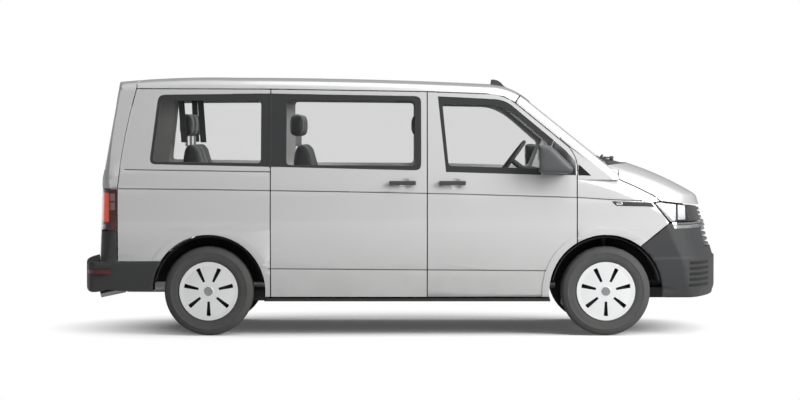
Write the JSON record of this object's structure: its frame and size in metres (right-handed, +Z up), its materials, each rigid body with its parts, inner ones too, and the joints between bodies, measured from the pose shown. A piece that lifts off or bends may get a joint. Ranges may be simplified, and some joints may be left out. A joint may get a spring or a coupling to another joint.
{
  "type": "minivan",
  "caption": "Passenger minivan with glazed sides, dark bumpers, slotted wheel covers, hinged front doors, bonnet and tailgate",
  "frame": {"origin": "On the ground below the middle of the body", "axes": "+X forward, +Y left, +Z up"},
  "size_m": [4.9036, 2.292, 1.9681],
  "materials": {
    "body_paint": "gloss",
    "black_plastic": "grained",
    "glass": "clear",
    "interior_plastic": "grained",
    "seat_fabric": "woven",
    "chassis_steel": "coated",
    "underbody": "sealed",
    "engine_iron": "cast",
    "tank_plastic": "moulded",
    "headlamp": "clear",
    "tail_lamp": "clear red",
    "tyre": "treaded",
    "wheel_cover": "silver lacquer"
  },
  "bodies": {
    "body": {"roof": "body_paint", "a_pillars": "body_paint", "sliding_door": "body_paint", "quarter_panel_right": "body_paint", "side_panel_left": "body_paint", "wings": "body_paint", "front_bumper": "black_plastic", "rear_bumper": "black_plastic", "grille": "black_plastic", "cowl": "black_plastic", "arch_liners": "black_plastic", "sliding_door_handle": "black_plastic", "antenna": "black_plastic", "windscreen": "glass", "side_glass": "glass", "sliding_door_glass": "glass", "dashboard": "interior_plastic", "front_seats": "seat_fabric", "second_row_seat": "seat_fabric", "third_row_seat": "seat_fabric", "front_subframe": "chassis_steel", "rear_axle": "chassis_steel", "exhaust": "chassis_steel", "floor_pan": "underbody", "door_posts": "underbody", "engine": "engine_iron", "fuel_tank": "tank_plastic", "headlamps": "headlamp", "tail_lamps": "tail_lamp"},
    "knuckle_left": {"knuckle_left": "chassis_steel"},
    "knuckle_right": {"knuckle_right": "chassis_steel"},
    "road_wheel_front_left": {"tyre_front_left": "tyre", "wheel_front_left": "wheel_cover"},
    "road_wheel_front_right": {"tyre_front_right": "tyre", "wheel_front_right": "wheel_cover"},
    "road_wheel_rear_left": {"tyre_rear_left": "tyre", "wheel_rear_left": "wheel_cover"},
    "road_wheel_rear_right": {"tyre_rear_right": "tyre", "wheel_rear_right": "wheel_cover"},
    "door_left": {"front_door_left": "body_paint", "front_door_glass_left": "glass", "mirror_left": "black_plastic", "door_handle_left": "black_plastic"},
    "door_right": {"front_door_right": "body_paint", "front_door_glass_right": "glass", "mirror_right": "black_plastic", "door_handle_right": "black_plastic"},
    "bonnet_lid": {"bonnet": "body_paint"},
    "tail_door": {"tailgate": "body_paint", "tailgate_glass": "glass"},
    "steering": {"steering_wheel": "interior_plastic"}
  },
  "joints": [
    {"name": "door_right_hinge", "type": "hinge", "parent": "body", "child": "door_right", "pos_m": [1.263, -0.93, 0.94], "axis": [0, 0, 1], "range_deg": [0, 70]},
    {"name": "door_left_hinge", "type": "hinge", "parent": "body", "child": "door_left", "pos_m": [1.263, 0.93, 0.94], "axis": [0, 0, -1], "range_deg": [0, 70]},
    {"name": "bonnet_hinge", "type": "hinge", "parent": "body", "child": "bonnet_lid", "pos_m": [1.6, 0, 1.258], "axis": [0, -1, 0], "range_deg": [0, 55]},
    {"name": "tailgate_hinge", "type": "hinge", "parent": "body", "child": "tail_door", "pos_m": [-2.065, 0, 1.914], "axis": [0, 1, 0], "range_deg": [0, 85]},
    {"name": "steering_turn", "type": "hinge", "parent": "body", "child": "steering", "pos_m": [0.88, 0.405, 1.318], "axis": [-0.7986, 0, 0.6018], "range_deg": [-512, 512]},
    {"name": "knuckle_left_steer", "type": "hinge", "parent": "body", "child": "knuckle_left", "pos_m": [1.544, 0.721, 0.3375], "axis": [0, -0.1702, 0.9854], "range_deg": [-32, 32]},
    {"name": "knuckle_right_steer", "type": "hinge", "parent": "body", "child": "knuckle_right", "pos_m": [1.544, -0.721, 0.3375], "axis": [0, 0.1702, 0.9854], "range_deg": [-32, 32]},
    {"name": "front_left_spin", "type": "hinge", "parent": "knuckle_left", "child": "road_wheel_front_left", "pos_m": [1.544, 0.814, 0.3375], "axis": [0, 1, 0], "continuous": true},
    {"name": "front_right_spin", "type": "hinge", "parent": "knuckle_right", "child": "road_wheel_front_right", "pos_m": [1.544, -0.814, 0.3375], "axis": [0, 1, 0], "continuous": true},
    {"name": "rear_left_spin", "type": "hinge", "parent": "body", "child": "road_wheel_rear_left", "pos_m": [-1.456, 0.814, 0.3375], "axis": [0, 1, 0], "continuous": true},
    {"name": "rear_right_spin", "type": "hinge", "parent": "body", "child": "road_wheel_rear_right", "pos_m": [-1.456, -0.814, 0.3375], "axis": [0, 1, 0], "continuous": true}
  ],
  "couplings": [
    {"joint": "knuckle_left_steer", "follows": "steering_turn", "ratio": 0.0625},
    {"joint": "knuckle_right_steer", "follows": "steering_turn", "ratio": 0.0625}
  ]
}
